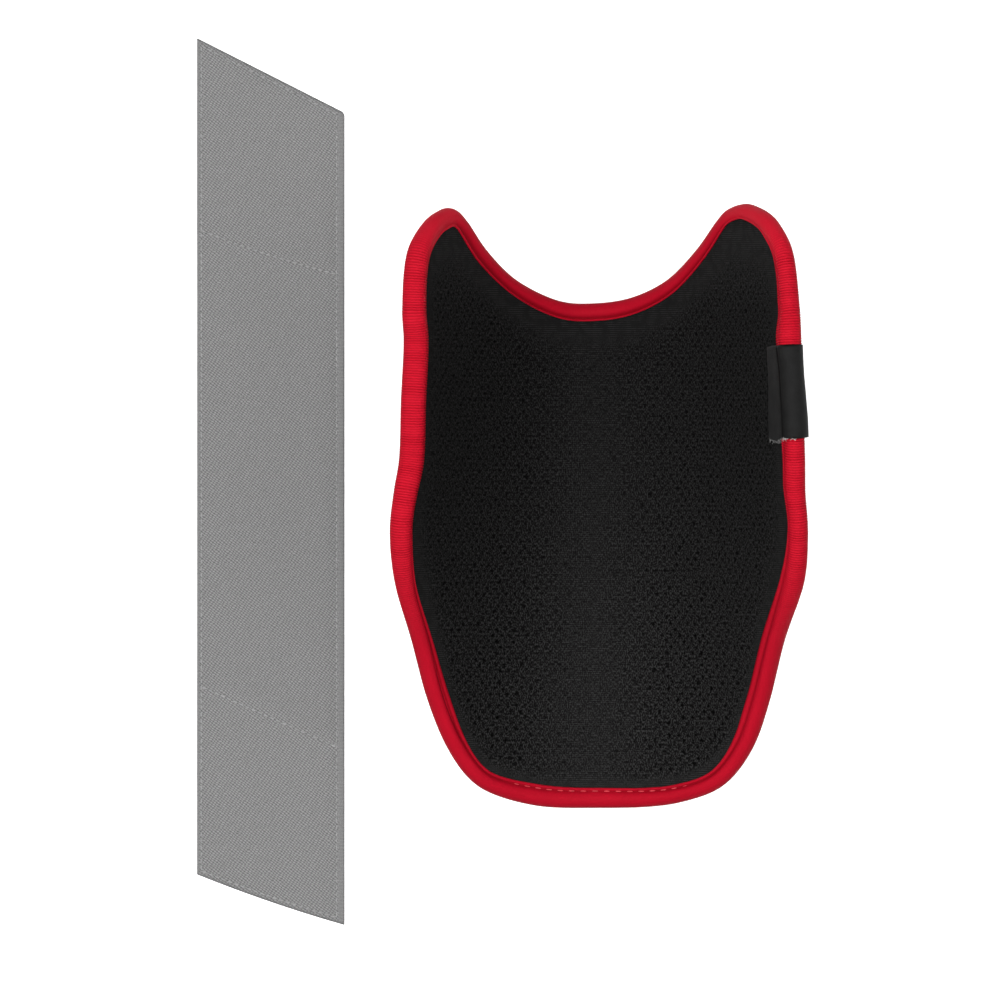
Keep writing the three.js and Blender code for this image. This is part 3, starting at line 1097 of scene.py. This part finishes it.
def label_place(share, walked, lift):
    """A point of the label: share of the way up it, length along its run, and how far off its underside."""
    index, part = span_at(label_lengths, walked)
    before, after = label_run[index - 1], label_run[index]
    point = before.lerp(after, part)
    lean = (after - before).normalized()
    wave = CREASE_WAVE * math.sin(CREASE_HALF_WAVES * math.pi * share)
    creased = math.exp(-((walked - label_crease) / CREASE_WIDTH) ** 2)
    point.x += (mix(*CREASE_LEAN, share) + wave) * creased
    loose = LABEL_STAND_OFF * smoothstep(1.0 - share, *LABEL_LOOSE) * smoothstep(point.x, *LABEL_BULGE)
    flare = smoothstep(-point.x, 0.0, LABEL_FLARE_RUN)
    bottom = label_ends[0] - LABEL_FLARE[0] * flare
    top = label_ends[1] + LABEL_FLARE[1] * flare
    station = edge_at(mix(bottom, top, share))
    point += Vector((lean.y, -lean.x, 0.0)) * (lift + loose)
    reach, crown, _, _ = tape_lay(station.along)
    if point.y > 0.0:
        point.y += crown * min(point.y / BEAD_RADIUS, 1.0) * smoothstep(point.x, LABEL_CROWN_END, -LEG)
    if point.x < 0.0:
        point.x += LABEL_DRAW * (reach - 1.0) * max(point.x, -LEG)
    if point.x >= -2.0 * LEG:
        return in_section(station, point.x, point.y)
    place = in_section(station, point.x, 0.0)
    return off_seam(place.x, place.y, point.y)


def make_label():
    width, length = label_ends[1] - label_ends[0], label_lengths[-1]
    bm = graded_sheet(LABEL_COLUMNS + 1, LABEL_ROWS + 1)
    add_back(bm, 1.0)
    write_uv(bm, lambda vert: (vert.x / LABEL_COLUMNS * width, vert.y / LABEL_ROWS * length))
    dark_top_edge = bm.verts.layers.float.new("dark_top_edge")
    for vert in bm.verts:
        share = vert.co.x / LABEL_COLUMNS
        vert[dark_top_edge] = 1.0 - smoothstep((1.0 - share) * width, LABEL_DARK_EDGE, 2.0 * LABEL_DARK_EDGE)
        lift = LABEL_THICK if vert.co.z == 0.0 else 0.0
        vert.co = label_place(share, vert.co.y / LABEL_ROWS * length, lift)
    label = finished("label", bm, satin(), "satin", "side_label", shift=KEEL_X)
    return label


def make_thread_ends():
    """Loose ends of yarn along the label's lower cut."""
    draw = random.Random(THREAD_SEED)
    bm = bmesh.new()
    pale = bm.verts.layers.float.new("pale")
    for i in range(THREAD_ENDS):
        share = (i + draw.uniform(*THREAD_STRAY)) / THREAD_ENDS
        walked = mix(label_lengths[-1] - THREAD_ROOT, THREADS_FROM, share)
        root = label_place(0.0, walked, LABEL_THICK * draw.uniform(*THREAD_OFF))
        lean = Vector((draw.uniform(*THREAD_LEAN), -1.0, draw.uniform(*THREAD_LIFT))).normalized()
        length = draw.uniform(*THREAD_LENGTH)
        turn = UP.rotation_difference(lean).to_matrix().to_4x4()
        turn.translation = root + lean * (length / 2 - THREAD_ROOT)
        made = bmesh.ops.create_cone(
            bm, cap_ends=True, segments=THREAD_SIDES, radius1=THREAD_THICK[0], radius2=THREAD_THICK[1],
            depth=length, matrix=turn)
        for vert in made["verts"]:
            vert[pale] = mix(1.0, THREAD_FADED, smoothstep(walked, *THREAD_FADE))
    write_uv(bm)
    thread = sewing_thread("pale_yarn", 0.4, (0.8, 0.8, 0.78), fade="pale")
    return finished("label_thread_ends", bm, thread, "satin", shift=KEEL_X)


# Strap

def strap_share(x):
    return (x - STRAP_LEFT) / STRAP_WIDTH


def strap_line(pair, share, bow=0.0):
    return mix(pair[0], pair[1], share) - bow * 4.0 * share * (1.0 - share)


def strap_lines(share):
    """The strap's lower end, lower seam, upper seam and upper end at a share of its width."""
    return (
        strap_line(STRAP_BOTTOM, share, STRAP_BOW),
        strap_line(SEAM_BOTTOM, share),
        strap_line(SEAM_TOP, share, SEAM_BOW),
        strap_line(STRAP_TOP, share),
    )


def strap_raise(share, y):
    """How high the strap is lifted by the patches under its ends."""
    top = strap_line(SEAM_TOP, share)
    bottom = strap_line(SEAM_BOTTOM, share)
    over = smoothstep(y, top - STRAP_RAMP, top) + 1.0 - smoothstep(y, bottom, bottom + STRAP_RAMP)
    return (PATCH_THICK + FABRIC_GAP) * over


def strap_columns():
    """Places of the strap's columns off its left side, close together at both sides."""
    inner = STRAP_WIDTH - 2 * HEM_STEPS[-1]
    count = round(inner / STRAP_STEP)
    between = [HEM_STEPS[-1] + inner * i / count for i in range(1, count)]
    return [*HEM_STEPS, *between, *(STRAP_WIDTH - step for step in reversed(HEM_STEPS))]


def strap_rows():
    """The strap's rows: the line each starts from, its share of the way to the next line, and an offset."""
    lines = strap_lines(0.5)
    rows = [(0, 0.0, step) for step in HEM_STEPS]
    for span in range(3):
        count = round((lines[span + 1] - lines[span]) / STRAP_STEP)
        rows += [(span, i / count, 0.0) for i in range(2, count - 1)]
        if span < 2:
            rows += [(span + 1, 0.0, step) for step in SEAM_STEPS]
    return rows + [(2, 1.0, -step) for step in reversed(HEM_STEPS)]


def strap_place(share, row):
    line, part, offset = row
    lines = strap_lines(share)
    return mix(lines[line], lines[line + 1], part) + offset


def strap_distances(x, y):
    """How far a place is from the left side, the right side, the lower end and the upper end."""
    lower, _, _, upper = strap_lines(strap_share(x))
    square_lower, square_upper = (
        math.cos(math.atan2(high - low, STRAP_WIDTH)) for high, low in (STRAP_BOTTOM, STRAP_TOP))
    return x - STRAP_LEFT, STRAP_RIGHT - x, (y - lower) * square_lower, (upper - y) * square_upper


def sewn_dent(x, y):
    """How far the sewing pulls the strap's face down."""
    left, right, lower, upper = strap_distances(x, y)
    _, seam_low, seam_high, _ = strap_lines(strap_share(x))
    inside = min(left - SEW_LEFT, right - SEW_RIGHT, lower - SEW_ENDS, upper - SEW_ENDS)
    offs = [inside]
    if inside > 0.0:
        offs += [y - seam_low, y - seam_high]
    return SEW_DENT * max(math.exp(-(off / SEW_WIDTH) ** 2) for off in offs)


def make_strap():
    columns, rows = strap_columns(), strap_rows()
    bm = graded_sheet(len(columns), len(rows))
    add_back(bm, 1.0)
    selvedge = bm.verts.layers.float.new("selvedge")
    cut = bm.verts.layers.float.new("cut")
    for vert in bm.verts:
        share = columns[round(vert.co.x)] / STRAP_WIDTH
        y = strap_place(share, rows[round(vert.co.y)])
        x = STRAP_LEFT + share * STRAP_WIDTH
        left, right, lower, upper = strap_distances(x, y)
        to_side, to_end = STRAP_CORNER - right, STRAP_CORNER - upper
        if to_side > 0.0 and to_end > 0.0:
            pull = max(to_side, to_end) / math.hypot(to_side, to_end)
            x -= to_side - to_side * pull
            y -= to_end - to_end * pull
        near = max(0.0, min(left, right, lower, upper))
        rounding = 1.0 - math.sqrt(1.0 - (1.0 - min(near / STRAP_ROUND, 1.0)) ** 2)
        height = STRAP_ROUND_UNDER * rounding
        if vert.co.z == 0.0:
            height = STRAP_THICK - STRAP_ROUND_TOP * rounding - sewn_dent(x, y)
        vert[cut] = CUT_SHADE * (1.0 - smoothstep(min(lower, upper), *CUT_EDGE))
        vert[selvedge] = 1.0 - min(smoothstep(left, *SELVEDGE_LEFT), smoothstep(right, *SELVEDGE_RIGHT))
        vert.co = (x, y, strap_raise(share, y) + height)
    write_uv(bm)
    strap = finished("grey_strap", bm, twill(), "twill", "strap")
    return strap


def strap_surface(x, y):
    return Vector((x, y, strap_raise(strap_share(x), y) + STRAP_THICK - SEW_DENT))


def along_line(knots, pitch):
    """Stitch places at an even pitch along a line of plan points on the strap."""
    line = [strap_surface(x, y) for x, y in knots]
    lengths = running_lengths(line)
    count = round(lengths[-1] / pitch)
    places = []
    for i in range(count):
        index, part = span_at(lengths, (i + 0.5) * lengths[-1] / count)
        first, second = line[index - 1], line[index]
        places.append((first.lerp(second, part), second - first, UP))
    return places


def strap_stitches():
    """The strap's sewing: round its outline, and across it over each patch's inner end."""
    left, right = STRAP_LEFT + SEW_LEFT, STRAP_RIGHT - SEW_RIGHT

    def across(line, offset=0.0):
        points = []
        for i in range(SEW_STEPS_ACROSS + 1):
            x = mix(left, right, i / SEW_STEPS_ACROSS)
            points.append((x, strap_lines(strap_share(x))[line] + offset))
        return points

    lower, upper = across(0, SEW_ENDS_ALONG[0]), across(3, -SEW_ENDS_ALONG[1])
    shares = [i / SEW_STEPS_ALONG for i in range(SEW_STEPS_ALONG + 1)]
    left_side = [(left, mix(lower[0][1], upper[0][1], share)) for share in shares]
    right_side = [(right, mix(lower[-1][1], upper[-1][1], share)) for share in shares]
    places = []
    for line in (lower, upper, left_side, right_side, across(1), across(2)):
        places += along_line(line, STRAP_STITCH[2])
    return places


def make_patch(name, node, material, lower_line, upper_line):
    """Hook tape under one end of the strap: a woven backing with rows of hooks on its underside."""
    side = PATCH_INSET / STRAP_WIDTH
    bm = graded_sheet(PATCH_COLUMNS + 1, PATCH_ROWS + 1)
    add_back(bm, 1.0)
    hooks = []
    for face in bm.faces:
        middle = face.calc_center_median()
        if middle.z == -1.0 and (int(middle.x) + int(middle.y)) % 2 == 0:
            hooks.append(face)
    bmesh.ops.inset_individual(bm, faces=hooks, thickness=HOOK_INSET, depth=0.0)
    bmesh.ops.inset_individual(bm, faces=hooks, thickness=HOOK_TAPER, depth=HOOK_LENGTH)
    for vert in bm.verts:
        share = mix(side, 1.0 - side, vert.co.x / PATCH_COLUMNS)
        lines = strap_lines(share)
        lower, upper = lines[lower_line] + PATCH_INSET, lines[upper_line] - PATCH_INSET
        y = mix(lower, upper, vert.co.y / PATCH_ROWS)
        height = PATCH_THICK if vert.co.z == 0.0 else vert.co.z + 1.0 + HOOK_LENGTH
        vert.co = (mix(STRAP_LEFT, STRAP_RIGHT, share), y, height)
    write_uv(bm)
    return finished(name, bm, material, "hook_tape", node)


# Studio

def make_floor():
    bm = bmesh.new()
    bmesh.ops.create_grid(bm, x_segments=1, y_segments=1, size=FLOOR_HALF)
    material = new_material("pale_floor", {
        "Base Color": rgba(0.85),
        "Roughness": 0.8,
        "Specular IOR Level": 0.1,
        "Emission Color": rgba(1.0),
        "Emission Strength": 0.7,
    })
    floor = mesh_object("floor", bm, material)
    floor.visible_diffuse = False


def add_light(name, place, power):
    """A soft box that looks at the middle of the part."""
    data = bpy.data.lights.new(name, "AREA")
    data.size = SOFT_BOX_SIZE
    data.energy = power
    light = new_object(name, data)
    light.location = place
    light.rotation_mode = "QUATERNION"
    light.rotation_quaternion = Vector(place).to_track_quat("Z", "Y")


def make_studio():
    make_floor()
    world = bpy.data.worlds.new("studio")
    world.use_nodes = True
    background = world.node_tree.nodes["Background"]
    background.inputs["Color"].default_value = rgba(1.0)
    background.inputs["Strength"].default_value = SKY_STRENGTH
    scene = bpy.context.scene
    scene.world = world
    for name, (place, power) in SOFT_BOXES.items():
        add_light(name, place, power)
    data = bpy.data.cameras.new("camera")
    data.lens = CAMERA_LENS
    data.sensor_width = CAMERA_SENSOR
    data.clip_end = CAMERA_CLIP
    scene.camera = new_object("camera", data)
    scene.camera.location = CAMERA_PLACE
    scene.view_settings.view_transform = "Standard"


make_studio()
make_lining()
make_shell()
make_binding()
red_thread = sewing_thread("red_thread", (0.5, 0.02, 0.035), (0.75, 0.08, 0.1))
sew("front_stitches", edge_stitches(1), EDGE_STITCH, red_thread, "binding_tape", shift=KEEL_X)
sew("back_stitches", edge_stitches(-1), EDGE_STITCH, red_thread, "binding_tape", shift=KEEL_X)
make_label()
make_thread_ends()
make_strap()
grey_thread = sewing_thread("grey_thread", 0.24, 0.41)
sew("strap_stitches", strap_stitches(), STRAP_STITCH, grey_thread, "twill")
hooked = hook_tape()
make_patch("hook_tape_top", "hook_patch_top", hooked, 2, 3)
make_patch("hook_tape_bottom", "hook_patch_bottom", hooked, 0, 1)
